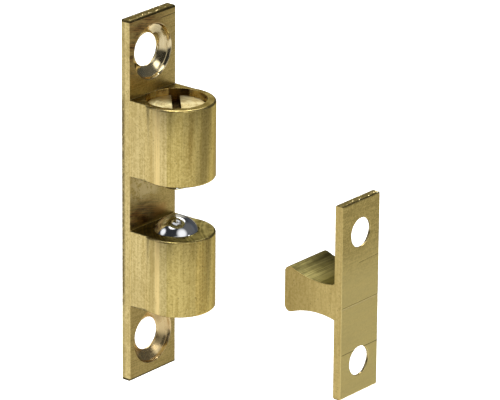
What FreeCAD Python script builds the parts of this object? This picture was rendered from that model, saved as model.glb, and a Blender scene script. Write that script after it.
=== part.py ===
import FreeCAD, Part

import math
import os

# Double ball catch in brass: a case that screws to a cabinet carcase, and a strike that screws to the door.
# Sizes are in millimetres. The origin is the centre of the case's back face. +Z is up along the case,
# +X across it, and -Y is the way the bosses stand out, so the back face looks along +Y.

# Case: an extruded brass section with the plate at the back and two bosses left after milling
CASE_LENGTH = 50.0
CASE_WIDTH = 9.1
PLATE_THICKNESS = 1.4
BOSS_OUTER_Z = 14.3
BOSS_INNER_Z = 3.72
NOSE_CENTRE_DEPTH = 5.85
NOSE_RADIUS = 4.85
CASE_END_ROUNDING = 0.3
BOSS_EDGE_CHAMFER = 0.2

# Countersunk screw holes of the case: a short steep rim, a wide cone and a cylindrical land at the back
CASE_HOLE_Z = 19.8
CASE_HOLE_RADIUS = 2.2
CASE_SINK_RADIUS = 3.73
CASE_SINK_RIM_RADIUS = 3.58
CASE_SINK_RIM_DEPTH = 0.5
CASE_HOLE_LAND = 0.2

# Stepped bore through each boss, which just clears the plate's front
BORE_AXIS_DEPTH = 5.42
SCREW_BORE_RADIUS = 4.0
SCREW_BORE_DEPTH = 3.1
BALL_BORE_RADIUS = 3.3
BORE_STEP_SLOPE = 0.5
LIP_RADIUS = 3.0
LIP_DEPTH = 0.6

# Steel ball, held in by the lip
BALL_RADIUS = 3.25
BALL_CENTRE_DEPTH = 1.4

# Slotted adjusting screw that closes the outer end of the bore
SCREW_RADIUS = 3.94
SCREW_THICKNESS = 1.9
SCREW_RECESS = 0.85
SCREW_EDGE_CHAMFER = 0.15
SLOT_WIDTH = 1.1
SLOT_DEPTH = 0.9
UPPER_SLOT_ANGLE = 43.0
LOWER_SLOT_ANGLE = 12.0

# Compression spring between the ball and the screw
SPRING_WIRE_RADIUS = 0.22
SPRING_MEAN_RADIUS = 2.3
SPRING_TURNS = 2.5
SPRING_WIRE_SIDES = 6
SPRING_END_GAP = 0.04

# Strike: one extruded T section, with the plate screwed to the door and the tongue between the balls
STRIKE_LENGTH = 25.6
STRIKE_WIDTH = 7.3
STRIKE_THICKNESS = 1.2
STRIKE_END_CHAMFER = 0.15
STRIKE_HOLE_Z = 8.5
STRIKE_HOLE_RADIUS = 1.9
STRIKE_SINK_RADIUS = 3.1
STRIKE_SINK_DEPTH = 0.9
TONGUE_LENGTH = 7.8
TONGUE_ROOT_HALF = 2.35
TONGUE_WAIST_HALF = 2.07
TONGUE_WAIST_AT = 2.7
TONGUE_CREST_HALF = 3.0
TONGUE_TIP_ROUNDING = 0.8
TONGUE_FLARE_ANGLE = 22.0

# Where the strike stands when the door is open: across and out from the centre of the case's back
STRIKE_OPEN_X = -10.6
STRIKE_OPEN_Y = -42.9

X_AXIS = FreeCAD.Vector(1, 0, 0)
Y_AXIS = FreeCAD.Vector(0, 1, 0)
Z_AXIS = FreeCAD.Vector(0, 0, 1)


def polygon_face(points):
    """Return the flat face inside a closed run of straight edges."""
    return Part.Face(Part.makePolygon(points + [points[0]]))


def turned(profile, base, axis):
    """Return the solid made by turning (radius, distance) points round an axis.

    The distance runs from base along axis, and the radius square to it.
    """
    side = X_AXIS
    points = [base + side * radius + axis * distance for radius, distance in profile]
    return polygon_face(points).revolve(base, axis, 360)


def end_for_end(shape):
    """Return a copy mirrored about the middle of the case's height."""
    return shape.mirror(FreeCAD.Vector(0, 0, 0), Z_AXIS)


def boss():
    """Return the upper boss as a plain block: flat sides that run out into a round nose."""
    half = CASE_WIDTH / 2
    nose_start = -NOSE_CENTRE_DEPTH + math.sqrt(NOSE_RADIUS ** 2 - half ** 2)
    root = -PLATE_THICKNESS / 2
    tip = FreeCAD.Vector(0, -NOSE_CENTRE_DEPTH - NOSE_RADIUS, BOSS_INNER_Z)
    corners = [
        FreeCAD.Vector(x, y, BOSS_INNER_Z)
        for x, y in ((half, nose_start), (half, root), (-half, root), (-half, nose_start))
    ]
    sides = [Part.LineSegment(a, b).toShape() for a, b in zip(corners, corners[1:])]
    nose = Part.Arc(corners[-1], tip, corners[0]).toShape()
    block = Part.Face(Part.Wire(sides + [nose])).extrude(Z_AXIS * (BOSS_OUTER_Z - BOSS_INNER_Z))
    curved_ends = [edge for edge in block.Edges if abs(edge.Length - nose.Length) < 0.001]
    return block.makeChamfer(BOSS_EDGE_CHAMFER, curved_ends)


def boss_bore():
    """Return the stepped bore of the upper boss: screw bore, ball bore and the closed-in lip."""
    base = FreeCAD.Vector(0, -BORE_AXIS_DEPTH, BOSS_INNER_Z)
    length = BOSS_OUTER_Z - BOSS_INNER_Z
    step = length - SCREW_BORE_DEPTH
    overrun = 1.0
    lip_slope = (BALL_BORE_RADIUS - LIP_RADIUS) / LIP_DEPTH
    profile = [
        (0, -overrun),
        (LIP_RADIUS - lip_slope * overrun, -overrun),
        (BALL_BORE_RADIUS, LIP_DEPTH),
        (BALL_BORE_RADIUS, step - BORE_STEP_SLOPE),
        (SCREW_BORE_RADIUS, step),
        (SCREW_BORE_RADIUS, length + overrun),
        (0, length + overrun),
    ]
    return turned(profile, base, Z_AXIS)


def case_screw_hole():
    """Return the upper countersunk hole as a solid to cut, with its mouth on the plate's front."""
    overrun = 1.0
    front = PLATE_THICKNESS
    profile = [
        (0, -overrun),
        (CASE_HOLE_RADIUS, -overrun),
        (CASE_HOLE_RADIUS, CASE_HOLE_LAND),
        (CASE_SINK_RIM_RADIUS, front - CASE_SINK_RIM_DEPTH),
        (CASE_SINK_RADIUS, front),
        (CASE_SINK_RADIUS, front + overrun),
        (0, front + overrun),
    ]
    return turned(profile, FreeCAD.Vector(0, 0, CASE_HOLE_Z), -Y_AXIS)


def case():
    """Return the catch's case: plate, two bosses, their bores and the screw holes."""
    plate = Part.makeBox(
        CASE_WIDTH, PLATE_THICKNESS, CASE_LENGTH,
        FreeCAD.Vector(-CASE_WIDTH / 2, -PLATE_THICKNESS, -CASE_LENGTH / 2))
    end_edges = [
        edge for edge in plate.Edges
        if abs(edge.CenterOfMass.x) < 0.001
        and abs(edge.CenterOfMass.y + PLATE_THICKNESS) < 0.001
    ]
    plate = plate.makeFillet(CASE_END_ROUNDING, end_edges)
    upper_boss = boss()
    body = plate.fuse([upper_boss, end_for_end(upper_boss)]).removeSplitter()
    cuts = []
    for tool in (boss_bore(), case_screw_hole()):
        cuts += [tool, end_for_end(tool)]
    return body.cut(cuts)


def ball():
    """Return the upper ball, which stands out of its boss into the gap."""
    height = BOSS_INNER_Z + BALL_CENTRE_DEPTH
    return Part.makeSphere(BALL_RADIUS, FreeCAD.Vector(0, -BORE_AXIS_DEPTH, height))


def wire_section(along):
    """Return the spring wire's section square to its run, drawn six-sided to keep the coil's faces few."""
    side = X_AXIS
    up = along.cross(side)
    angles = [math.radians(360 * (k + 0.5) / SPRING_WIRE_SIDES) for k in range(SPRING_WIRE_SIDES)]
    corners = [
        FreeCAD.Vector(SPRING_MEAN_RADIUS, 0, 0)
        + side * (SPRING_WIRE_RADIUS * math.cos(angle))
        + up * (SPRING_WIRE_RADIUS * math.sin(angle))
        for angle in angles
    ]
    return Part.makePolygon(corners + [corners[0]])


def spring():
    """Return the upper compression spring, an open coil seated on the ball."""
    reach = BALL_RADIUS + SPRING_WIRE_RADIUS
    nested = math.sqrt(reach ** 2 - SPRING_MEAN_RADIUS ** 2)
    start = BOSS_INNER_Z + BALL_CENTRE_DEPTH + nested + SPRING_END_GAP
    screw_face = BOSS_OUTER_Z - SCREW_RECESS - SCREW_THICKNESS
    height = screw_face - SPRING_END_GAP - SPRING_WIRE_RADIUS - start
    pitch = height / SPRING_TURNS
    coil = Part.makeHelix(pitch, height, SPRING_MEAN_RADIUS)
    rise = math.atan2(pitch, 2 * math.pi * SPRING_MEAN_RADIUS)
    along = FreeCAD.Vector(0, math.cos(rise), math.sin(rise))
    solid = Part.Wire(coil).makePipeShell([wire_section(along)], True, True)
    solid.translate(FreeCAD.Vector(0, -BORE_AXIS_DEPTH, start))
    return solid


def adjusting_screw(slot_angle):
    """Return the upper adjusting screw, with its slot turned by slot_angle degrees from +X."""
    outer = BOSS_OUTER_Z - SCREW_RECESS
    base = FreeCAD.Vector(0, -BORE_AXIS_DEPTH, outer - SCREW_THICKNESS)
    profile = [
        (0, 0),
        (SCREW_RADIUS - SCREW_EDGE_CHAMFER, 0),
        (SCREW_RADIUS, SCREW_EDGE_CHAMFER),
        (SCREW_RADIUS, SCREW_THICKNESS - SCREW_EDGE_CHAMFER),
        (SCREW_RADIUS - SCREW_EDGE_CHAMFER, SCREW_THICKNESS),
        (0, SCREW_THICKNESS),
    ]
    disc = turned(profile, base, Z_AXIS)
    across = 2 * SCREW_RADIUS + 2
    slot = Part.makeBox(
        across, SLOT_WIDTH, SLOT_DEPTH + 1,
        FreeCAD.Vector(-across / 2, -SLOT_WIDTH / 2 - BORE_AXIS_DEPTH, outer - SLOT_DEPTH))
    slot.rotate(FreeCAD.Vector(0, -BORE_AXIS_DEPTH, 0), Z_AXIS, slot_angle)
    return disc.cut(slot)


def strike_profile():
    """Return the strike's T section in the plane x = 0, with the plate's inner face at y = 0."""
    flare = math.radians(90 + TONGUE_FLARE_ANGLE)
    centre_y = TONGUE_LENGTH - TONGUE_TIP_ROUNDING
    centre_z = TONGUE_CREST_HALF - TONGUE_TIP_ROUNDING
    flank_end = (
        centre_y + TONGUE_TIP_ROUNDING * math.cos(flare),
        centre_z + TONGUE_TIP_ROUNDING * math.sin(flare))
    tip_middle = (
        centre_y + TONGUE_TIP_ROUNDING * math.cos(flare / 2),
        centre_z + TONGUE_TIP_ROUNDING * math.sin(flare / 2))
    half = STRIKE_LENGTH / 2
    corner = STRIKE_END_CHAMFER

    def at(y, z):
        return FreeCAD.Vector(0, y, z)

    def side(sign):
        """Return the edges from the plate's outer face to the tongue's tip, above or below."""
        plate_points = [
            (-STRIKE_THICKNESS, 0), (-STRIKE_THICKNESS, half - corner), (-STRIKE_THICKNESS + corner, half),
            (-corner, half), (0, half - corner), (0, TONGUE_ROOT_HALF)]
        points = [at(y, sign * z) for y, z in plate_points]
        edges = [Part.LineSegment(a, b).toShape() for a, b in zip(points, points[1:])]
        waist = at(TONGUE_WAIST_AT, sign * TONGUE_WAIST_HALF)
        crest = at(flank_end[0], sign * flank_end[1])
        tip = at(TONGUE_LENGTH, sign * centre_z)
        edges.append(Part.Arc(points[-1], waist, crest).toShape())
        edges.append(Part.Arc(crest, at(tip_middle[0], sign * tip_middle[1]), tip).toShape())
        edges.append(Part.LineSegment(tip, at(TONGUE_LENGTH, 0)).toShape())
        return edges

    outline = Part.Wire(Part.__sortEdges__(side(1) + side(-1)))
    return Part.Face(outline)


def strike():
    """Return the strike where it stands with the door open."""
    body = strike_profile().extrude(X_AXIS * STRIKE_WIDTH)
    body.translate(FreeCAD.Vector(-STRIKE_WIDTH / 2, 0, 0))
    overrun = 1.0
    profile = [
        (0, -STRIKE_THICKNESS - overrun),
        (STRIKE_HOLE_RADIUS, -STRIKE_THICKNESS - overrun),
        (STRIKE_HOLE_RADIUS, -STRIKE_SINK_DEPTH),
        (STRIKE_SINK_RADIUS, 0),
        (STRIKE_SINK_RADIUS, overrun),
        (0, overrun),
    ]
    holes = [turned(profile, FreeCAD.Vector(0, 0, z), Y_AXIS) for z in (STRIKE_HOLE_Z, -STRIKE_HOLE_Z)]
    body = body.cut(holes).removeSplitter()
    body.translate(FreeCAD.Vector(STRIKE_OPEN_X, STRIKE_OPEN_Y, 0))
    return body


def sub_parts():
    """Return every piece of the catch by name."""
    return {
        "case": case(),
        "upper_ball": ball(),
        "lower_ball": end_for_end(ball()),
        "upper_spring": spring(),
        "lower_spring": end_for_end(spring()),
        "upper_adjusting_screw": adjusting_screw(UPPER_SLOT_ANGLE),
        "lower_adjusting_screw": end_for_end(adjusting_screw(LOWER_SLOT_ANGLE)),
        "strike": strike(),
    }


def single_solid(name, shape):
    """Return the one solid of a shape, and stop with its name if there isn't exactly one."""
    if len(shape.Solids) != 1 or not shape.isValid():
        raise ValueError(f"{name} has {len(shape.Solids)} solids, valid {shape.isValid()}")
    return shape.Solids[0]


os.makedirs("parts", exist_ok=True)
for name, shape in sub_parts().items():
    solid = single_solid(name, shape)
    solid.exportStep(f"parts/{name}.step")
    print(f"{name}: {solid.Volume:.2f} mm3")
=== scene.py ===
import logging
import math
import random
from dataclasses import dataclass
from enum import Enum
from typing import Sequence, Tuple, Union

import bmesh
import bpy
from mathutils import Matrix, Vector


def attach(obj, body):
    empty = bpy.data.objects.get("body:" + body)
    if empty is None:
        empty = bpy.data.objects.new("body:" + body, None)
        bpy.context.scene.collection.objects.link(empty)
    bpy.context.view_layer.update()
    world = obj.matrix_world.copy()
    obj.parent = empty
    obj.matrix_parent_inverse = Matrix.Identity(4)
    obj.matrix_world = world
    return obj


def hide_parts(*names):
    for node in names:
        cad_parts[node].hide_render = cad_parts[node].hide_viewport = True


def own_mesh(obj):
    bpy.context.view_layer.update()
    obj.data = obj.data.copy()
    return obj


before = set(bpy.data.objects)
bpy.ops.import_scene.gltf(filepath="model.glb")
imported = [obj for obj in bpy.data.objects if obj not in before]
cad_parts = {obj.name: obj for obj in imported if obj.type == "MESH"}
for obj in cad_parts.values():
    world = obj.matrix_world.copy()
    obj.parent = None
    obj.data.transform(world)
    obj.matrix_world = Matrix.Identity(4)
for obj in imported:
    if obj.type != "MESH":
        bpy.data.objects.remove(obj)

# A double ball catch in brass: the case with its two sprung balls, and the strike that the balls hold.
# Blender works in metres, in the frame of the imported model. The finishes work in millimetres of that frame.

MM = 0.001
PHOTO_WIDTH = 500
# Millimetres: how wide one worked face turns into the next, how far a face laps past its own edge,
# how wide a torn end's seam is, and how far off a flat face a point may lie
SEAM = 0.04
LAP = 0.02
TORN_SEAM = 0.06
FLAT = 0.06
# How high the tool marks stand, in millimetres
BRASS_GRAIN = 0.012
BURR_GRAIN = 0.01
FINE_GRAIN = 0.006
BALL_GRAIN = 0.0006
# Corners closer than this are one, in millimetres, and edges sharper than this are eased, in degrees
WELD_GAP = 0.001
SHARP = 30.0

Socket = bpy.types.NodeSocket
Color = Tuple[float, float, float, float]
Triple = Tuple[float, float, float]
Feed = Union[Socket, float, Sequence[float]]

log = logging.getLogger("ball_catch")


def rgb(red: float, green: float, blue: float) -> Color:
    """Return a solid linear colour.

    Args:
        red: The red share of the light sent back. A tint that brightens has shares over 1.
        green: The green share.
        blue: The blue share.

    Returns:
        The colour with full alpha.
    """
    return (red, green, blue, 1.0)


def direction(azimuth: float, elevation: float) -> Vector:
    """Return the unit vector towards a compass point of the studio.

    Args:
        azimuth: Degrees from -Y towards +X.
        elevation: Degrees above the horizon.

    Returns:
        The unit vector.
    """
    turn, rise = math.radians(azimuth), math.radians(elevation)
    return Vector((math.sin(turn) * math.cos(rise), -math.cos(turn) * math.cos(rise), math.sin(rise)))


class Op(Enum):
    """The sums that a finish makes with its numbers."""

    ADD = "ADD"
    TAKE = "SUBTRACT"
    TIMES = "MULTIPLY"
    MOST = "MAXIMUM"
    ROOT = "SQRT"
    SIZE = "ABSOLUTE"


class End(Enum):
    """The two ends of the case, which are alike."""

    UPPER = "upper"
    LOWER = "lower"

    @property
    def sign(self) -> float:
        """Return +1 for the end that stands up and -1 for the other."""
        return 1.0 if self is End.UPPER else -1.0


@dataclass
class Look:
    """What one worked face feeds to the shader."""

    color: Feed
    roughness: Feed
    height: Feed


class Graph:
    """A node tree with short calls for the nodes that the finishes share."""

    def __init__(self, tree: bpy.types.NodeTree) -> None:
        """Empty a node tree and keep it.

        Args:
            tree: The tree of a material or of the world.
        """
        tree.nodes.clear()
        self.tree = tree

    def node(self, kind: str, **settings: object) -> bpy.types.Node:
        """Add a node.

        Args:
            kind: Blender's name for the node's type.
            settings: The node's own settings by name.

        Returns:
            The new node.
        """
        made = self.tree.nodes.new(kind)
        for name, value in settings.items():
            setattr(made, name, value)
        return made

    def feed(self, socket: Socket, value: Feed) -> None:
        """Give a socket its value.

        Args:
            socket: The input to fill.
            value: Another node's output, or a number or colour to set on the socket.
        """
        if isinstance(value, bpy.types.NodeSocket):
            self.tree.links.new(value, socket)
        else:
            socket.default_value = value

    def math(self, op: Op, first: Feed, second: Feed = 0.0) -> Socket:
        """Join two numbers.

        Args:
            op: The sum to make.
            first: The first number.
            second: The second number.

        Returns:
            The result.
        """
        made = self.node("ShaderNodeMath", operation=op.value)
        self.feed(made.inputs[0], first)
        self.feed(made.inputs[1], second)
        return made.outputs[0]

    def step(self, value: Feed, low: float, high: float, start: float = 0.0, end: float = 1.0) -> Socket:
        """Turn a number into a share that eases from one limit to the other.

        Args:
            value: The number.
            low: Where the share starts to change.
            high: Where it stops, which may be below low.
            start: The share on low's side.
            end: The share on high's side.

        Returns:
            The share.
        """
        made = self.node("ShaderNodeMapRange", interpolation_type="SMOOTHSTEP")
        if high < low:
            low, high, start, end = high, low, end, start
        self.feed(made.inputs["Value"], value)
        for name, number in (("From Min", low), ("From Max", high), ("To Min", start), ("To Max", end)):
            made.inputs[name].default_value = number
        return made.outputs["Result"]

    def above(self, value: Feed, limit: float, blur: float = SEAM) -> Socket:
        """Return a share that reaches 1 where a number reaches a limit, and is 0 a blur below it."""
        return self.step(value, limit - blur, limit)

    def below(self, value: Feed, limit: float, blur: float = SEAM) -> Socket:
        """Return a share that reaches 1 where a number falls to a limit, and is 0 a blur above it."""
        return self.step(value, limit + blur, limit)

    def band(self, value: Feed, middle: Feed, half: float, core: float) -> Socket:
        """Return a share that is 1 near a number and falls to 0 away from it.

        Args:
            value: The number to test.
            middle: The number that it should be near to.
            half: How far off the share reaches 0.
            core: How far off the share starts to fall.

        Returns:
            The share.
        """
        return self.step(self.math(Op.SIZE, self.math(Op.TAKE, value, middle)), half, core)

    def flat(self, value: Feed, at: float) -> Socket:
        """Return the share of the flat face that stands at one place of an axis."""
        return self.band(value, at, FLAT, FLAT / 2)

    def both(self, *shares: Feed) -> Socket:
        """Return the share where all the shares given hold.

        Args:
            shares: The shares, two or more.

        Returns:
            Their product.
        """
        result = shares[0]
        for share in shares[1:]:
            result = self.math(Op.TIMES, result, share)
        return result

    def total(self, *parts: Tuple[float, Socket]) -> Socket:
        """Return the weighted sum of numbers.

        Args:
            parts: The weight and the output of each number.

        Returns:
            The sum.
        """
        result = self.math(Op.TIMES, parts[0][1], parts[0][0])
        for weight, part in parts[1:]:
            result = self.math(Op.ADD, result, self.math(Op.TIMES, part, weight))
        return result

    def mix(self, share: Feed, first: Feed, second: Feed, blend: str = "MIX") -> Socket:
        """Blend two colours.

        Args:
            share: How much of the second one shows.
            first: The colour below.
            second: The colour above.
            blend: Blender's name for the way they meet.

        Returns:
            The blended colour.
        """
        made = self.node("ShaderNodeMix", data_type="RGBA", blend_type=blend)
        self.feed(made.inputs[0], share)
        self.feed(made.inputs[6], first)
        self.feed(made.inputs[7], second)
        return made.outputs[2]

    def lerp(self, share: Feed, first: Feed, second: Feed) -> Socket:
        """Return the number between two others that a share asks for.

        Args:
            share: How much of the second one counts.
            first: The first number.
            second: The second number.

        Returns:
            The number.
        """
        made = self.node("ShaderNodeMix", data_type="FLOAT")
        self.feed(made.inputs[0], share)
        self.feed(made.inputs[2], first)
        self.feed(made.inputs[3], second)
        return made.outputs[0]

    def join(self, x: Feed, y: Feed, z: Feed) -> Socket:
        """Return the vector of three numbers.

        Args:
            x: The first number.
            y: The second number.
            z: The third number.

        Returns:
            The vector.
        """
        made = self.node("ShaderNodeCombineXYZ")
        for socket, value in zip(made.inputs, (x, y, z)):
            self.feed(socket, value)
        return made.outputs[0]

    def split(self, vector: Socket) -> Tuple[Socket, Socket, Socket]:
        """Return the three numbers of a vector.

        Args:
            vector: The vector.

        Returns:
            Its X, Y and Z.
        """
        made = self.node("ShaderNodeSeparateXYZ")
        self.feed(made.inputs[0], vector)
        return tuple(made.outputs)

    def noise(self, where: Feed, scale: float, detail: float = 2.0, rough: float = 0.5) -> Socket:
        """Return a cloudy share.

        Args:
            where: Where the pattern is read.
            scale: Clouds for each unit of place.
            detail: How many finer layers are added.
            rough: How much each finer layer counts.

        Returns:
            A share around one half.
        """
        made = self.node("ShaderNodeTexNoise")
        self.feed(made.inputs["Vector"], where)
        made.inputs["Scale"].default_value = scale
        made.inputs["Detail"].default_value = detail
        made.inputs["Roughness"].default_value = rough
        return made.outputs[0]

    def radius(self, first: Feed, second: Feed, at: Tuple[float, float] = (0.0, 0.0)) -> Socket:
        """Return the distance from a line that runs along the third axis.

        Args:
            first: The place along the first axis.
            second: The place along the second axis.
            at: Where the line stands on these two axes.

        Returns:
            The distance.
        """
        over = self.math(Op.TAKE, first, at[0])
        along = self.math(Op.TAKE, second, at[1])
        square = self.math(Op.ADD, self.math(Op.TIMES, over, over), self.math(Op.TIMES, along, along))
        return self.math(Op.ROOT, square)

    def layer(self, share: Feed, below: Look, above: Look) -> Look:
        """Lay one worked face over another.

        Args:
            share: Where the upper one shows.
            below: The face below.
            above: The face above.

        Returns:
            The two as one.
        """
        return Look(
            self.mix(share, below.color, above.color),
            self.lerp(share, below.roughness, above.roughness),
            self.lerp(share, below.height, above.height),
        )


class Surface(Graph):
    """A material's node tree, with the place of a point in millimetres of the frame, at rest."""

    def __init__(self, tree: bpy.types.NodeTree) -> None:
        """Empty the tree, keep it and read the place.

        Args:
            tree: The material's tree.
        """
        super().__init__(tree)
        scaled = self.node("ShaderNodeVectorMath", operation="SCALE")
        self.feed(scaled.inputs[0], self.node("ShaderNodeTexCoord").outputs["Object"])
        scaled.inputs["Scale"].default_value = 1 / MM
        self.place = scaled.outputs[0]
        self.x, self.y, self.z = self.split(self.place)

    def marks(self, density: Triple, turn: float = 0.0, shift: float = 0.0) -> Socket:
        """Return tool marks, drawn out along the axis with the lowest density.

        Args:
            density: How many marks there are to a millimetre along each axis.
            turn: Degrees that the marks are turned by, about Y.
            shift: A step along every axis, which gives another set of the same marks.

        Returns:
            A share around one half.
        """
        laid = self.node("ShaderNodeMapping")
        turned = self.node("ShaderNodeVectorRotate", rotation_type="Y_AXIS")
        self.feed(turned.inputs["Vector"], self.place)
        turned.inputs["Angle"].default_value = math.radians(turn)
        self.feed(laid.inputs["Vector"], turned.outputs[0])
        laid.inputs["Scale"].default_value = density
        laid.inputs["Location"].default_value = (shift, shift, shift)
        return self.noise(laid.outputs[0], 1.0, 3.0, 0.6)


def new_material(name: str) -> Tuple[bpy.types.Material, Surface]:
    """Make a material.

    Args:
        name: Its name.

    Returns:
        The material and its nodes.
    """
    material = bpy.data.materials.new(name)
    material.use_nodes = True
    return material, Surface(material.node_tree)


# What bare steel and bare brass send back at a grazing angle
WHITE = rgb(1.0, 1.0, 1.0)
BRASS_EDGE = rgb(0.79, 0.70, 0.48)


def finish_metal(graph: Surface, look: Look, grain: float, anisotropy: float = 0.0,
                 edge: Color = BRASS_EDGE) -> None:
    """Join a look to the shader of bare metal.

    Args:
        graph: The material's nodes.
        look: What the surface shows.
        grain: The height of its marks in millimetres.
        anisotropy: How far turning marks round Z draw out the light.
        edge: The colour of the metal where it is seen at a grazing angle.
    """
    body = graph.node("ShaderNodeBsdfPrincipled")
    body.inputs["Metallic"].default_value = 1.0
    body.inputs["Specular Tint"].default_value = edge
    graph.feed(body.inputs["Base Color"], look.color)
    graph.feed(body.inputs["Roughness"], look.roughness)
    if anisotropy:
        body.inputs["Anisotropic"].default_value = anisotropy
        tangent = graph.node("ShaderNodeTangent", direction_type="RADIAL", axis="Z")
        graph.feed(body.inputs["Tangent"], tangent.outputs[0])
    bump = graph.node("ShaderNodeBump")
    bump.inputs["Strength"].default_value = 1.0
    bump.inputs["Distance"].default_value = grain * MM
    graph.feed(bump.inputs["Height"], look.height)
    graph.feed(body.inputs["Normal"], bump.outputs[0])
    out = graph.node("ShaderNodeOutputMaterial")
    graph.feed(out.inputs["Surface"], body.outputs[0])


def dress(thing: bpy.types.Object, material: bpy.types.Material) -> None:
    """Give an object one material in all its slots.

    Args:
        thing: The object.
        material: The material.
    """
    if not thing.material_slots:
        thing.data.materials.append(material)
    for slot in thing.material_slots:
        slot.material = material


def ease_edges(thing: bpy.types.Object, width: float) -> None:
    """Give the sharp edges of a piece the small rounding that handling leaves.

    Args:
        thing: The piece.
        width: The width of the rounding in millimetres.
    """
    weld = thing.modifiers.new("weld", "WELD")
    weld.merge_threshold = WELD_GAP * MM
    bevel = thing.modifiers.new("eased_edges", "BEVEL")
    bevel.width = width * MM
    bevel.segments = 2
    bevel.limit_method = "ANGLE"
    bevel.angle_limit = math.radians(SHARP)
    bevel.use_clamp_overlap = False
    bevel.harden_normals = True


@dataclass(frozen=True)
class Drawn:
    """Satin brass as the die leaves it: streaks along its run, with sandy grain, pits and faint stains."""

    color: Color = rgb(0.82, 0.66, 0.30)
    shade: Color = rgb(0.55, 0.42, 0.155)
    pit: Color = rgb(0.26, 0.18, 0.06)
    roughness: float = 0.36
    run: Triple = (6.5, 6.5, 0.09)

    def look(self, graph: Surface) -> Look:
        """Return the surface's look.

        Args:
            graph: The material's nodes.

        Returns:
            The look.
        """
        fine = graph.marks(self.run)
        broad = graph.marks(tuple(0.22 * mark for mark in self.run), shift=7.0)
        sand = graph.noise(graph.place, 3.2, 3.0, 0.7)
        cloud = graph.noise(graph.place, 0.3, 3.0)
        tone = graph.total((0.36, fine), (0.14, broad), (0.50, sand))
        pits = graph.step(graph.noise(graph.place, 4.2, 1.0), 0.66, 0.74)
        stain = graph.step(cloud, 0.52, 0.75, 0.0, 0.35)
        color = graph.mix(graph.step(tone, 0.39, 0.60), self.shade, self.color)
        color = graph.mix(stain, color, self.shade)
        color = graph.mix(graph.math(Op.TIMES, pits, 0.5), color, self.pit)
        wear = graph.total((0.5, cloud), (0.5, pits))
        rough = graph.step(wear, 0.2, 0.8, self.roughness - 0.05, self.roughness + 0.14)
        return Look(color, rough, graph.total((0.45, fine), (0.2, broad), (-0.5, sand)))


@dataclass(frozen=True)
class Milled:
    """A flat that a cutter has run over: fine close lines, and a few deeper ones."""

    color: Color = rgb(0.88, 0.69, 0.275)
    shade: Color = rgb(0.64, 0.485, 0.17)
    roughness: float = 0.30
    lines: Triple = (0.22, 0.22, 8.5)
    turn: float = 0.0

    def look(self, graph: Surface) -> Look:
        """Return the surface's look.

        Args:
            graph: The material's nodes.

        Returns:
            The look.
        """
        fine = graph.marks(self.lines, self.turn)
        broad = graph.marks(tuple(0.16 * line for line in self.lines), self.turn, 3.0)
        sand = graph.noise(graph.place, 4.5, 2.0, 0.7)
        tone = graph.total((0.34, fine), (0.18, broad), (0.48, sand))
        color = graph.mix(graph.step(tone, 0.40, 0.60), self.shade, self.color)
        rough = graph.step(broad, 0.3, 0.7, self.roughness - 0.04, self.roughness + 0.08)
        return Look(color, rough, graph.total((0.6, fine), (-0.3, sand)))


@dataclass(frozen=True)
class Turned:
    """A face cut on the lathe or with a countersink: bright, with fine rings round its axis."""

    color: Color = rgb(0.80, 0.66, 0.34)
    shade: Color = rgb(0.56, 0.42, 0.17)
    roughness: float = 0.13
    rings: float = 6.0
    depth: float = 1.0

    def look(self, graph: Surface, radius: Socket) -> Look:
        """Return the surface's look.

        Args:
            graph: The material's nodes.
            radius: The distance from the tool's axis.

        Returns:
            The look.
        """
        ring = graph.noise(graph.join(graph.math(Op.TIMES, radius, self.rings), 0.0, 0.0), 1.0, 2.0, 0.6)
        smear = graph.noise(graph.place, 0.9, 2.0)
        tone = graph.total((0.6, ring), (0.4, smear))
        color = graph.mix(graph.step(tone, 0.38, 0.60), self.shade, self.color)
        rough = graph.step(smear, 0.3, 0.7, self.roughness - 0.03, self.roughness + 0.06)
        return Look(color, rough, graph.math(Op.TIMES, ring, self.depth))


@dataclass(frozen=True)
class Sheared:
    """A sawn or cropped end: dark torn brass with bright flecks where the burr was rubbed down."""

    color: Color = rgb(0.085, 0.066, 0.026)
    fleck: Color = rgb(0.32, 0.26, 0.12)
    roughness: float = 0.42

    def look(self, graph: Surface) -> Look:
        """Return the surface's look.

        Args:
            graph: The material's nodes.

        Returns:
            The look.
        """
        torn = graph.marks((1.6, 5.0, 5.0))
        grit = graph.noise(graph.place, 6.0, 2.0, 0.7)
        flecks = graph.step(graph.total((0.5, torn), (0.5, grit)), 0.545, 0.62, 0.0, 0.9)
        color = graph.mix(flecks, self.color, self.fleck)
        return Look(color, self.roughness, graph.total((1.2, torn), (0.8, grit)))


@dataclass(frozen=True)
class StainAndShade:
    """The reddish brown laid over the plate's front: partly a stain, partly painted shadow and painted
    reflection.
    """

    color: Color = rgb(0.43, 0.245, 0.09)
    deep: Color = rgb(0.14, 0.078, 0.032)
    roughness: float = 0.34

    def over(self, graph: Surface, look: Look, share: Feed) -> Look:
        """Lay the brown over a look.

        Args:
            graph: The material's nodes.
            look: What the clean surface shows.
            share: How strong the brown is at each point.

        Returns:
            The browned look.
        """
        patches = graph.marks((0.5, 0.5, 1.1), shift=11.0)
        strength = graph.both(share, graph.step(patches, 0.30, 0.62, 0.45, 1.0))
        streak = graph.marks((0.3, 0.3, 5.0), -14.0, 5.0)
        brown = graph.mix(graph.step(streak, 0.42, 0.60), self.deep, self.color)
        return Look(
            graph.mix(strength, look.color, brown),
            graph.lerp(strength, look.roughness, self.roughness),
            look.height)


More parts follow.
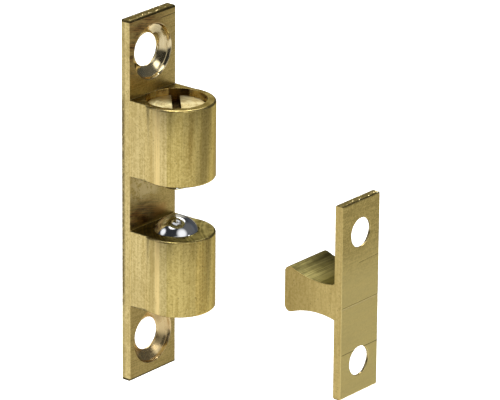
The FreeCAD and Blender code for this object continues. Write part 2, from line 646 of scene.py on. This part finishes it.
@dataclass
class Flakes:
    """Small burrs of torn brass, each a thin wedge that lies on the surface."""

    name: str
    body: str
    slot: str
    seed: int
    length: float
    lift: float
    root: float = 0.01
    stray: float = 0.06

    def build(self, places: Sequence[Tuple[Vector, Vector, Vector]]) -> None:
        """Make the burrs as one piece, none longer than length or higher than lift, in millimetres.

        Args:
            places: The point, the run and the outward way of each burr.
        """
        draw = random.Random(self.seed)
        mesh = bmesh.new()
        for point, along, out in places:
            side = along.cross(out)
            reach = self.length * draw.uniform(0.45, 1.0) / 2
            width = self.length * draw.uniform(0.12, 0.3)
            base = point - out * self.root
            corners = [
                base - along * reach,
                base + along * reach,
                base + side * width + along * reach * draw.uniform(-0.5, 0.5),
                point + out * self.lift * draw.uniform(0.4, 1.0) + along * reach * draw.uniform(-0.4, 0.4),
            ]
            verts = [mesh.verts.new(corner * MM) for corner in corners]
            for face in ((0, 1, 2), (0, 3, 1), (1, 3, 2), (2, 3, 0)):
                mesh.faces.new([verts[k] for k in face])
        bmesh.ops.recalc_face_normals(mesh, faces=mesh.faces)
        data = bpy.data.meshes.new(self.name)
        mesh.to_mesh(data)
        mesh.free()
        piece = bpy.data.objects.new(self.name, data)
        bpy.context.scene.collection.objects.link(piece)
        dress(piece, burr_brass())
        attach(piece, self.body)
        log.info("built %s with %d burrs", self.name, len(places))

    def along_end(self, middle: Triple, reach: float, rows: Triple, count: int, swing: float) -> None:
        """Make the burrs of a cropped top end.

        Args:
            middle: The middle of the end, from which the rows are measured.
            reach: How far the rows go along X to either side.
            rows: How far off along Y each row lies.
            count: How many burrs there are in all.
            swing: How far a burr may turn off its row, in radians.
        """
        draw = random.Random(self.seed - 1)
        places = []
        for _ in range(count):
            x = middle[0] + draw.uniform(-reach, reach)
            y = middle[1] + draw.choice(rows) + draw.uniform(-self.stray, self.stray)
            turn = draw.uniform(-swing, swing)
            run = Vector((math.cos(turn), math.sin(turn), 0.0))
            places.append((Vector((x, y, middle[2])), run, Vector((0, 0, 1))))
        self.build(places)


def burr_brass() -> bpy.types.Material:
    """Make the bright brass of a fresh burr, a little uneven.

    Returns:
        The material.
    """
    material, graph = new_material("burr_brass")
    patch = graph.noise(graph.place, 3.0, 2.0)
    color = graph.mix(graph.step(patch, 0.4, 0.6), rgb(0.62, 0.50, 0.24), rgb(0.92, 0.82, 0.52))
    finish_metal(graph, Look(color, graph.step(patch, 0.3, 0.7, 0.22, 0.4), patch), BURR_GRAIN)
    return material


@dataclass
class Case:
    """The case: a drawn section with the plate, two milled bosses, their bores and the screw holes."""

    plate: float = 1.4
    half_length: float = 25.0
    half_width: float = 4.55
    boss_outer: float = 14.3
    boss_inner: float = 3.72
    hole: float = 19.8
    sink: float = 3.73
    # Millimetres along Y: where the painted shade band and the painted highlight band lie on the sides, and
    # where the nose starts
    shade_band_at: float = -5.35
    brighter_at: float = -6.25
    nose_from: float = -7.62
    bore_axis: float = -5.42
    bore: float = 4.0
    torn: float = 0.28
    easing: float = 0.07
    burr_count: int = 26
    burr_rows: Triple = (-0.12, -0.95, -1.02)

    def build(self) -> None:
        """Dress the case and add its burrs."""
        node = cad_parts["case"]
        ease_edges(node, self.easing)
        dress(node, self.material())
        log.info("dressed case")
        self.burrs()

    def material(self) -> bpy.types.Material:
        """Make the finish of every face of the case in one material.

        Returns:
            The material.
        """
        material, graph = new_material("case_brass")
        height = graph.math(Op.SIZE, graph.z)
        sunk = graph.radius(graph.x, height, (0.0, self.hole))
        bored = graph.radius(graph.x, graph.y, (0.0, self.bore_axis))
        proud = graph.below(graph.y, -self.plate - 2 * SEAM)
        look = self.sides(graph)
        look = graph.layer(graph.flat(graph.y, -self.plate), look, self.front(graph, height))
        ends = graph.above(height, self.half_length - self.torn, TORN_SEAM)
        look = graph.layer(ends, look, Sheared().look(graph))
        outer = graph.both(proud, graph.above(height, self.boss_outer - LAP))
        look = graph.layer(outer, look, self.outer_face(graph, bored))
        inner = graph.both(proud, graph.below(height, self.boss_inner + LAP))
        look = graph.layer(inner, look, self.inner_face(graph))
        cone = graph.both(graph.below(sunk, self.sink + LAP / 2), graph.below(graph.y, -0.03, 0.02))
        look = graph.layer(cone, look, self.countersink(graph, sunk))
        inside = graph.above(height, self.boss_inner + LAP + 2 * SEAM)
        wall = graph.both(graph.below(bored, self.bore + LAP, 0.03), proud, inside)
        look = graph.layer(wall, look, self.bore_wall(graph, height))
        finish_metal(graph, look, BRASS_GRAIN)
        return material

    def sides(self, graph: Surface) -> Look:
        """Return the look of the drawn sides: a painted shade band and a painted highlight band where flat
        meets nose, painted shade over the nose, a painted highlight and painted shade on the lower boss, and
        darker along the edges with painted shade round the boss rims.

        Args:
            graph: The material's nodes.

        Returns:
            The look.
        """
        look = Drawn().look(graph)
        streak = graph.marks((5.0, 5.0, 0.06), shift=2.0)
        # Painted shade: the round nose is darker than the flat, where the reflected light changes at the
        # flat-to-nose line.
        nose = graph.step(graph.y, self.nose_from + 0.1, self.nose_from - 0.1)
        color = graph.mix(nose, look.color, rgb(0.88, 0.87, 0.70), "MULTIPLY")
        # Painted shade: a darker streaky band where the flat turns into the nose.
        shade_streaks = graph.step(streak, 0.60, 0.42, 0.2, 0.6)
        shade_band = graph.both(graph.band(graph.y, self.shade_band_at, 0.45, 0.15), shade_streaks)
        color = graph.mix(shade_band, color, rgb(0.56, 0.39, 0.135))
        lower_boss = graph.step(graph.z, -3.0, -3.5)
        # Painted shade: the lower boss is darker in a wide band across the flat-to-nose turn.
        dim = graph.both(graph.band(graph.y, self.brighter_at - 0.05, 1.9, 1.1), lower_boss)
        color = graph.mix(dim, color, rgb(0.87, 0.88, 0.85), "MULTIPLY")
        # Painted highlight: a pale band down the lower boss's nose, near the middle across X.
        bright = graph.both(graph.band(graph.x, -0.9, 1.3, 0.4), lower_boss, nose)
        color = graph.mix(bright, color, rgb(1.5, 1.46, 1.35), "MULTIPLY")
        # Painted highlight: a brighter orange streaky band where the flat turns into the nose.
        highlight_streaks = graph.step(streak, 0.36, 0.52, 0.2, 0.75)
        brighter = graph.both(graph.band(graph.y, self.brighter_at, 0.6, 0.2), highlight_streaks)
        color = graph.mix(brighter, color, rgb(1.0, 0.76, 0.33))
        # Darker along the back edges, and painted shade round the rims of the bosses.
        color = graph.mix(self.edge_dark_and_rim_shade(graph), color, rgb(0.19, 0.145, 0.06))
        return Look(color, look.roughness, look.height)

    def edge_dark_and_rim_shade(self, graph: Surface) -> Socket:
        """Return the share of darkening along the back edges, and of painted shade round the rims of the
        bosses.

        Args:
            graph: The material's nodes.

        Returns:
            The share.
        """
        height = graph.math(Op.SIZE, graph.z)
        off = graph.math(Op.SIZE, graph.x)
        cloud = graph.noise(graph.place, 2.2, 2.0)
        back = graph.both(
            graph.step(graph.y, -0.72, -0.26), graph.step(cloud, 0.32, 0.54, 0.45, 0.95),
            graph.step(height, 17.0, 12.0, 0.4, 1.0),
            graph.step(off, self.half_width - 0.2, self.half_width - 0.04))
        # Painted shade on the chamfers round the rims of the bosses.
        outer_rim = graph.step(height, self.boss_outer - 0.2, self.boss_outer - 0.12)
        inner_rim = graph.step(height, self.boss_inner + 0.2, self.boss_inner + 0.12)
        rims = graph.both(
            graph.math(Op.MOST, outer_rim, inner_rim), graph.below(height, self.boss_outer, 0.1),
            graph.below(graph.y, -self.plate - 0.1, 0.1), graph.step(cloud, 0.38, 0.58, 0.0, 0.6))
        return graph.math(Op.MOST, back, rims)

    def front(self, graph: Surface, height: Socket) -> Look:
        """Return the look of the plate's milled front: brown round the upper hole, partly stain and partly
        painted reflection, painted shadow in the gap beside the bosses, and painted reflections in the gap.

        Args:
            graph: The material's nodes.
            height: The distance from the middle of the case.

        Returns:
            The look.
        """
        clean = Milled().look(graph)
        side = graph.step(graph.x, 4.5, -1.5, 0.15, 1.0)
        # Partly a brown stain, partly a painted dark reflection: above the upper boss, strongest to the left.
        upper = graph.both(graph.step(graph.z, 13.9, 14.6), side, graph.step(graph.z, 16.0, 21.0, 0.16, 1.0))
        between = graph.step(height, 3.9, 3.2)
        # Painted shadow: dark brown low in the gap, just above the lower boss, to the left.
        gap = graph.both(between, graph.step(graph.z, 1.2, -1.9), graph.step(graph.x, 3.4, -2.0))
        gap_all = graph.step(height, 3.9, 3.2, 0.0, 0.03)
        low = graph.step(graph.z, -14.0, -14.6, 0.0, 0.10)
        share = graph.math(Op.MOST, graph.math(Op.MOST, upper, gap), graph.math(Op.MOST, gap_all, low))
        stained_and_shaded = StainAndShade().over(graph, clean, share)
        cloud = graph.noise(graph.place, 0.9, 4.0, 0.7)
        # Painted reflection: a pale cloudy patch in the upper part of the gap.
        pale_reflection = graph.both(graph.band(graph.x, -1.6, 3.6, 1.4), graph.band(graph.z, 1.9, 2.4, 1.0),
                          graph.step(cloud, 0.41, 0.52, 0.0, 0.95))
        color = graph.mix(pale_reflection, stained_and_shaded.color, rgb(1.0, 0.82, 0.42))
        # Painted reflection: a reddish-brown patch in the gap.
        glow = graph.both(graph.band(graph.x, 1.4, 2.2, 0.3), graph.band(graph.z, -2.5, 1.3, 0.3), 0.6)
        color = graph.mix(glow, color, rgb(0.66, 0.33, 0.10))
        scribed = graph.math(Op.TAKE, graph.z, graph.math(Op.TIMES, graph.x, 0.02))
        line = graph.both(graph.band(scribed, 23.9, 0.09, 0.04), graph.step(graph.x, 0.8, 2.2))
        color = graph.mix(graph.math(Op.TIMES, line, 0.7), color, rgb(0.06, 0.045, 0.02))
        return Look(color, stained_and_shaded.roughness, graph.math(Op.TAKE, stained_and_shaded.height, line))

    def countersink(self, graph: Surface, sunk: Socket) -> Look:
        """Return the look of the screw holes: mirror bright at the top end, duller and brown at the other.

        Args:
            graph: The material's nodes.
            sunk: The distance from the hole's axis.

        Returns:
            The look.
        """
        bright = Turned(rgb(0.78, 0.66, 0.40), rgb(0.70, 0.57, 0.32), 0.12, depth=0.03)
        dull = Turned(rgb(0.80, 0.62, 0.32), rgb(0.66, 0.48, 0.23), 0.25, depth=0.1)
        low = graph.step(graph.z, 0.5, -0.5)
        return graph.layer(low, bright.look(graph, sunk), dull.look(graph, sunk))

    def outer_face(self, graph: Surface, bored: Socket) -> Look:
        """Return the look of the flat outer end of a boss, bright round the bore.

        Args:
            graph: The material's nodes.
            bored: The distance from the bore's axis.

        Returns:
            The look.
        """
        brighter = Turned(rgb(0.42, 0.34, 0.14), rgb(0.22, 0.165, 0.06), 0.22, 9.0).look(graph, bored)
        plain = Milled(rgb(0.36, 0.28, 0.11), rgb(0.17, 0.125, 0.045), 0.26, (7.0, 0.3, 7.0))
        return graph.layer(graph.step(graph.y, -2.6, -3.6), plain.look(graph), brighter)

    def inner_face(self, graph: Surface) -> Look:
        """Return the look of the flat inner end of a boss, with the curved sweep of the cutter.

        Args:
            graph: The material's nodes.

        Returns:
            The look.
        """
        swept = graph.radius(graph.x, graph.y, (9.0, -16.0))
        arcs = graph.noise(graph.join(graph.math(Op.TIMES, swept, 2.2), 0.0, 0.0), 1.0, 4.0, 0.7)
        cloud = graph.noise(graph.place, 1.1, 2.0)
        tone = graph.total((0.7, arcs), (0.3, cloud))
        color = graph.mix(graph.step(tone, 0.40, 0.60), rgb(0.10, 0.084, 0.029), rgb(0.32, 0.27, 0.105))
        return Look(color, 0.36, graph.math(Op.TIMES, arcs, 1.6))

    def bore_wall(self, graph: Surface, height: Socket) -> Look:
        """Return the look of the bore's wall: painted shade on its back side, and a painted reflection of the
        screw's slot on its far side.

        Args:
            graph: The material's nodes.
            height: The distance from the middle of the case.

        Returns:
            The look.
        """
        look = Turned(roughness=0.28, rings=0.5, depth=0.1).look(graph, height)
        # Painted shade: the back side of the bore's wall is darker.
        back = graph.step(graph.y, self.bore_axis + 1.6, self.bore_axis + 3.0)
        color = graph.mix(back, look.color, rgb(0.80, 0.66, 0.40), "MULTIPLY")
        # Painted reflection: a dark band where the screw's slot would mirror in the far wall; it stays on the
        # case when the screw turns.
        across = graph.total((0.63, graph.x), (-0.77, graph.math(Op.TAKE, graph.y, self.bore_axis)))
        mirrored = graph.both(graph.band(across, 0.3, 1.55, 1.25), graph.step(graph.y, -4.6, -4.2))
        color = graph.mix(mirrored, color, rgb(0.13, 0.09, 0.04), "MULTIPLY")
        return Look(color, look.roughness, look.height)

    def burrs(self) -> None:
        """Add the burrs that cropping left along the case's top end."""
        flakes = Flakes("case_top_burrs", "case", "case_brass", 12, 0.42, 0.05)
        top = (0.0, 0.0, self.half_length)
        flakes.along_end(top, self.half_width - 0.25, self.burr_rows, self.burr_count, 0.25)


@dataclass
class Ball:
    """One polished steel ball."""

    end: End

    def build(self) -> None:
        """Dress the ball."""
        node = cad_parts[f"{self.end.value}_ball"]
        material, graph = new_material(f"{self.end.value}_ball_chrome")
        haze = graph.noise(graph.place, 1.3, 3.0)
        specks = graph.step(graph.noise(graph.place, 9.0, 1.0), 0.70, 0.76)
        color = graph.mix(graph.math(Op.TIMES, specks, 0.5), rgb(0.80, 0.81, 0.83), rgb(0.35, 0.34, 0.30))
        rough = graph.step(haze, 0.35, 0.75, 0.05, 0.13)
        look = Look(color, rough, graph.noise(graph.place, 14.0, 1.0))
        finish_metal(graph, look, BALL_GRAIN, edge=WHITE)
        dress(node, material)
        log.info("dressed %s ball", self.end.value)


@dataclass
class Spring:
    """One coil spring inside its boss."""

    end: End
    axis: float = -5.42
    fixed_end: float = 11.55
    press: float = 1.42

    def build(self) -> None:
        """Make the coil that stands for the CAD spring, dress it and hang it on the case."""
        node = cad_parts[f"{self.end.value}_spring"]
        name = f"{self.end.value}_coil"
        coil = bpy.data.objects.new(name, node.data.copy())
        bpy.context.scene.collection.objects.link(coil)
        dress(coil, self.material())
        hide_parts(f"{self.end.value}_spring")
        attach(coil, "case")
        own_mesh(coil)

    def material(self) -> bpy.types.Material:
        """Make the finish of drawn spring wire.

        Returns:
            The material.
        """
        material, graph = new_material(f"{self.end.value}_spring_steel")
        drawn = graph.marks((3.0, 3.0, 9.0))
        color = graph.mix(graph.step(drawn, 0.4, 0.6), rgb(0.16, 0.16, 0.17), rgb(0.40, 0.41, 0.43))
        finish_metal(graph, Look(color, 0.34, drawn), FINE_GRAIN, edge=WHITE)
        return material


@dataclass
class AdjustingScrew:
    """One slotted screw that closes the outer end of a boss."""

    end: End
    slot_angle: float
    seed: int
    axis: float = -5.42
    radius: float = 3.94
    face: float = 13.45
    slot_width: float = 1.1
    easing: float = 0.05
    burr_count: int = 5
    burr_off: float = 0.05

    def build(self) -> None:
        """Dress the screw and add the burrs that its slot was left with."""
        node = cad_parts[f"{self.end.value}_adjusting_screw"]
        ease_edges(node, self.easing)
        dress(node, self.material())
        log.info("dressed %s adjusting screw", self.end.value)
        self.burrs()

    def material(self) -> bpy.types.Material:
        """Make the finish: faced bright on top with painted shade over the right half, dark in the slot.

        Returns:
            The material.
        """
        material, graph = new_material(f"{self.end.value}_screw_brass")
        out = graph.radius(graph.x, graph.y, (0.0, self.axis))
        faced = Turned(rgb(1.0, 0.92, 0.55), rgb(0.70, 0.56, 0.26), 0.42, 4.0).look(graph, out)
        # Painted shade: the right half of the screw's face is darker; it turns with the screw.
        shaded = graph.step(graph.x, -1.0, 1.5)
        faced.color = graph.mix(shaded, faced.color, rgb(0.48, 0.46, 0.44), "MULTIPLY")
        depth = graph.math(Op.SIZE, graph.z)
        deep = graph.step(depth, self.face - 0.04, self.face - 0.3)
        torn = graph.marks((3.0, 3.0, 3.0))
        dark = graph.mix(graph.step(torn, 0.42, 0.62), rgb(0.035, 0.022, 0.010), rgb(0.20, 0.13, 0.05))
        look = graph.layer(deep, faced, Look(dark, 0.4, torn))
        finish_metal(graph, look, FINE_GRAIN, anisotropy=0.4)
        return material

    def burrs(self) -> None:
        """Add torn slivers along both edges of the slot, near the rim."""
        draw = random.Random(self.seed)
        turn = math.radians(self.slot_angle)
        along = Vector((math.cos(turn), math.sin(turn), 0.0))
        across = Vector((-math.sin(turn), math.cos(turn), 0.0))
        up = Vector((0.0, 0.0, self.end.sign))
        centre = Vector((0.0, self.axis, self.face * self.end.sign))
        places = []
        for side in (-1.0, 1.0):
            for _ in range(self.burr_count):
                run = draw.choice((-1.0, 1.0)) * draw.uniform(0.55, 0.93) * self.radius
                point = centre + along * run + across * side * (self.slot_width / 2 + self.burr_off)
                lean = draw.uniform(0.3, 1.2)
                places.append((point, across * math.cos(lean) + along * math.sin(lean), up))
        name = f"{self.end.value}_slot_burrs"
        Flakes(name, f"{self.end.value}_adjusting_screw", "screw_brass", 33, 0.34, 0.06).build(places)


@dataclass(frozen=True)
class Scratch:
    """One scratch across the strike's face: its height on the middle line, its slope, tone and start."""

    level: float
    slope: float
    tone: Color
    start: float = -3.65


@dataclass
class Strike:
    """The strike: a drawn T section, cropped at its ends and drilled for two screws."""

    across: float = -10.6
    inner: float = -42.9
    plate: float = 1.2
    tongue: float = 7.5
    half_length: float = 12.8
    half_width: float = 3.65
    hole: float = 8.5
    sink: float = 3.1
    easing: float = 0.06
    burr_count: int = 20
    burr_rows: Triple = (0.24, 0.5, 0.95)
    scratches: Tuple[Scratch, ...] = (
        Scratch(-6.85, 0.0, rgb(0.20, 0.15, 0.06)),
        Scratch(-0.62, 0.0, rgb(0.36, 0.28, 0.11)),
        Scratch(-0.80, 0.0, rgb(1.0, 0.84, 0.45)),
        Scratch(4.60, 0.03, rgb(0.38, 0.30, 0.12), -0.5),
    )

    def build(self) -> None:
        """Dress the strike and add its burrs."""
        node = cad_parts["strike"]
        ease_edges(node, self.easing)
        dress(node, self.material())
        log.info("dressed strike")
        self.burrs()

    def material(self) -> bpy.types.Material:
        """Make the finish of every face of the strike in one material.

        Returns:
            The material.
        """
        material, graph = new_material("strike_brass")
        height = graph.math(Op.SIZE, graph.z)
        outside = self.inner - self.plate
        sides = Drawn(
            color=rgb(0.66, 0.51, 0.20), shade=rgb(0.52, 0.39, 0.135), pit=rgb(0.28, 0.20, 0.08),
            roughness=0.40, run=(4.0, 4.0, 0.4))
        look = sides.look(graph)
        tip = graph.step(graph.y, self.inner + 1.0, self.inner + 6.0)
        look.color = graph.mix(tip, look.color, rgb(0.76, 0.74, 0.68), "MULTIPLY")
        look = graph.layer(graph.flat(graph.y, outside), look, self.face(graph))
        tongue = graph.both(
            graph.above(graph.y, self.inner + 0.3, 0.2), self.off_sides(graph),
            graph.below(graph.y, self.inner + self.tongue - 0.5, 0.5))
        look = graph.layer(tongue, look, self.flank(graph))
        ends = graph.above(height, self.half_length - TORN_SEAM, TORN_SEAM)
        look = graph.layer(ends, look, Sheared(color=rgb(0.11, 0.088, 0.035)).look(graph))
        drilled = graph.radius(graph.x, height, (self.across, self.hole))
        bore = graph.both(graph.below(drilled, self.sink + LAP / 2), graph.above(graph.y, outside + 0.07))
        turned = Turned(rgb(0.50, 0.40, 0.18), rgb(0.22, 0.16, 0.06), 0.3)
        look = graph.layer(bore, look, turned.look(graph, drilled))
        finish_metal(graph, look, BRASS_GRAIN)
        return material

    def off_sides(self, graph: Surface) -> Socket:
        """Return the share of the faces that lie between the strike's two flat sides."""
        off = graph.math(Op.SIZE, graph.math(Op.TAKE, graph.x, self.across))
        return graph.below(off, self.half_width - 0.08, 0.05)

    def face(self, graph: Surface) -> Look:
        """Return the look of the plate's plain face: lines across it, painted light that makes it paler and
        yellower towards the bottom, and a few scratches.

        Args:
            graph: The material's nodes.

        Returns:
            The look.
        """
        lined = Milled(rgb(0.88, 0.71, 0.275), rgb(0.60, 0.47, 0.165), 0.36, (0.5, 0.5, 5.0), -1.0)
        look = lined.look(graph)
        x = graph.math(Op.TAKE, graph.x, self.across)
        # Painted light: the face grows paler and yellower towards the bottom.
        color = graph.mix(graph.step(graph.z, 9.0, 1.0, 0.0, 0.75), look.color, rgb(1.0, 0.85, 0.37))
        height = look.height
        for scratch in self.scratches:
            rise = graph.math(Op.TAKE, graph.z, graph.math(Op.TIMES, x, scratch.slope))
            begun = graph.step(x, scratch.start, scratch.start + 0.4, 0.0, 0.8)
            line = graph.both(graph.band(rise, scratch.level, 0.075, 0.035), begun)
            color = graph.mix(line, color, scratch.tone)
            height = graph.math(Op.TAKE, height, line)
        return Look(color, look.roughness, height)

    def flank(self, graph: Surface) -> Look:
        """Return the look of the tongue's curved flanks: dark, with streaks across the tongue.

        Args:
            graph: The material's nodes.

        Returns:
            The look.
        """
        drawn = graph.marks((0.15, 6.0, 6.0))
        cloud = graph.noise(graph.place, 0.8, 2.0)
        tone = graph.total((0.75, drawn), (0.25, cloud))
        color = graph.mix(graph.step(tone, 0.38, 0.62), rgb(0.043, 0.037, 0.013), rgb(0.116, 0.10, 0.038))
        root = graph.step(graph.y, self.inner + 4.5, self.inner + 1.0)
        color = graph.mix(root, color, rgb(0.50, 0.48, 0.36), "MULTIPLY")
        return Look(color, 0.42, graph.math(Op.TIMES, drawn, 1.4))

    def burrs(self) -> None:
        """Add the burrs along the strike's cropped top end."""
        flakes = Flakes("strike_top_burrs", "strike", "strike_brass", 22, 0.4, 0.04)
        top = (self.across, self.inner - self.plate, self.half_length)
        flakes.along_end(top, self.half_width - 0.2, self.burr_rows, self.burr_count, 0.3)


@dataclass
class PhotoCamera:
    """The camera at the photograph's viewing angle."""

    azimuth: float = -50.74
    elevation: float = 20.55
    roll: float = 0.46
    distance: float = 0.6
    target: Triple = (0.02179, 0.0, -0.00726)
    pixels_per_metre: float = 7410.0
    sensor: float = 36.0
    near: float = 0.01
    far: float = 20.0

    def build(self) -> None:
        """Make the camera and set it as the scene's own."""
        back = direction(self.azimuth, self.elevation)
        turn = math.radians(self.azimuth)
        right = Vector((math.cos(turn), math.sin(turn), 0.0))
        up = back.cross(right)
        roll = math.radians(self.roll)
        across = right * math.cos(roll) + up * math.sin(roll)
        rise = up * math.cos(roll) - right * math.sin(roll)
        data = bpy.data.cameras.new("photo_camera")
        data.sensor_width = self.sensor
        data.lens = self.sensor * self.pixels_per_metre * self.distance / PHOTO_WIDTH
        data.clip_start = self.near
        data.clip_end = self.far
        camera = bpy.data.objects.new("photo_camera", data)
        spot = Vector(self.target) + back * self.distance
        camera.matrix_world = Matrix((
            (across.x, rise.x, back.x, spot.x),
            (across.y, rise.y, back.y, spot.y),
            (across.z, rise.z, back.z, spot.z),
            (0.0, 0.0, 0.0, 1.0),
        ))
        bpy.context.scene.collection.objects.link(camera)
        bpy.context.scene.camera = camera


@dataclass(frozen=True)
class SoftBox:
    """A round patch of light, or of dark cloth, far from the catch. Its sizes are half angles in degrees."""

    azimuth: float
    elevation: float
    inner: float
    outer: float
    strength: float
    color: Color = WHITE


DARK_CLOTH = rgb(0.10, 0.08, 0.04)


@dataclass
class Studio:
    """A pale floor, and what the metal mirrors: a white table below and a dark room with soft boxes above."""

    floor_height: float = -0.12
    floor_size: float = 3.0
    floor_white: Color = rgb(0.9, 0.9, 0.9)
    floor_roughness: float = 0.9
    floor_glow: float = 0.72
    room: Color = rgb(0.032, 0.034, 0.038)
    table: Color = rgb(1.0, 1.0, 0.99)
    table_rim: Tuple[float, float] = (-0.05, -0.22)
    boxes: Tuple[SoftBox, ...] = (
        SoftBox(-116.0, 78.0, 8.0, 22.0, 3.5),
        SoftBox(122.0, 62.0, 10.0, 26.0, 8.0),
        SoftBox(-14.0, 40.0, 7.0, 29.0, 1.1),
        SoftBox(17.5, 15.5, 4.5, 9.0, 2.6),
        SoftBox(45.0, 38.0, 10.0, 40.0, 0.10),
        SoftBox(-48.0, 12.0, 6.0, 24.0, 0.7),
        SoftBox(-132.0, 31.0, 7.0, 17.0, 1.1),
        SoftBox(136.0, 24.0, 8.0, 26.0, 0.62, rgb(1.0, 0.95, 0.78)),
        SoftBox(86.0, 8.0, 12.0, 34.0, 0.06, rgb(0.75, 0.85, 1.0)),
        SoftBox(88.0, -43.0, 6.0, 18.0, 0.5),
    )
    dips: Tuple[SoftBox, ...] = (
        SoftBox(40.0, -17.0, 8.0, 34.0, 0.72, DARK_CLOTH),
        SoftBox(0.0, -20.0, 15.0, 55.0, 0.12, DARK_CLOTH),
        SoftBox(30.0, -52.0, 8.0, 24.0, 0.3, DARK_CLOTH),
        SoftBox(108.0, -14.0, 10.0, 34.0, 0.45, DARK_CLOTH),
    )

    def build(self) -> None:
        """Make the floor and the light."""
        self.floor()
        self.light()

    def floor(self) -> None:
        """Make the floor, which the metal does not mirror."""
        half = self.floor_size / 2
        mesh = bpy.data.meshes.new("floor")
        corners = [(x * half, y * half, self.floor_height) for x, y in ((-1, -1), (1, -1), (1, 1), (-1, 1))]
        mesh.from_pydata(corners, [], [(0, 1, 2, 3)])
        floor = bpy.data.objects.new("floor", mesh)
        bpy.context.scene.collection.objects.link(floor)
        material = bpy.data.materials.new("floor_white")
        material.use_nodes = True
        graph = Graph(material.node_tree)
        body = graph.node("ShaderNodeBsdfPrincipled")
        body.inputs["Base Color"].default_value = self.floor_white
        body.inputs["Roughness"].default_value = self.floor_roughness
        body.inputs["Emission Color"].default_value = self.table
        body.inputs["Emission Strength"].default_value = self.floor_glow
        out = graph.node("ShaderNodeOutputMaterial")
        graph.feed(out.inputs["Surface"], body.outputs[0])
        dress(floor, material)
        floor.visible_glossy = False

    def light(self) -> None:
        """Set the world's light: the white table below, the dark room above and the soft boxes."""
        world = bpy.data.worlds.new("studio")
        world.use_nodes = True
        bpy.context.scene.world = world
        graph = Graph(world.node_tree)
        where = graph.node("ShaderNodeTexCoord").outputs["Generated"]
        low = graph.step(graph.split(where)[2], *self.table_rim)
        color = graph.mix(low, self.room, self.table)
        for dip in self.dips:
            share = graph.math(Op.TIMES, self.patch(graph, where, dip), dip.strength)
            color = graph.mix(share, color, dip.color)
        for box in self.boxes:
            lit = rgb(*(share * box.strength for share in box.color[:3]))
            glow = graph.mix(self.patch(graph, where, box), rgb(0, 0, 0), lit)
            color = graph.mix(1.0, color, glow, "ADD")
        back = graph.node("ShaderNodeBackground")
        graph.feed(back.inputs["Color"], color)
        out = graph.node("ShaderNodeOutputWorld")
        graph.feed(out.inputs["Surface"], back.outputs[0])

    def patch(self, graph: Graph, where: Socket, box: SoftBox) -> Socket:
        """Return the share of a soft box that a direction sees.

        Args:
            graph: The world's nodes.
            where: The direction looked in.
            box: The soft box.

        Returns:
            The share: 1 in the box's core, 0 outside the box.
        """
        dot = graph.node("ShaderNodeVectorMath", operation="DOT_PRODUCT")
        graph.feed(dot.inputs[0], where)
        dot.inputs[1].default_value = direction(box.azimuth, box.elevation)
        return graph.step(
            dot.outputs["Value"], math.cos(math.radians(box.outer)), math.cos(math.radians(box.inner)))


def main() -> None:
    """Build the catch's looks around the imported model."""
    bpy.context.scene.view_settings.view_transform = "Standard"
    PhotoCamera().build()
    Studio().build()
    Case().build()
    for end, slot_angle, seed in ((End.UPPER, 43.0, 31), (End.LOWER, 12.0, 32)):
        Ball(end).build()
        Spring(end).build()
        AdjustingScrew(end, slot_angle, seed).build()
    Strike().build()


if __name__ == "__main__":
    logging.basicConfig(level=logging.INFO, format="%(name)s: %(message)s")
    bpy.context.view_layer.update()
    main()
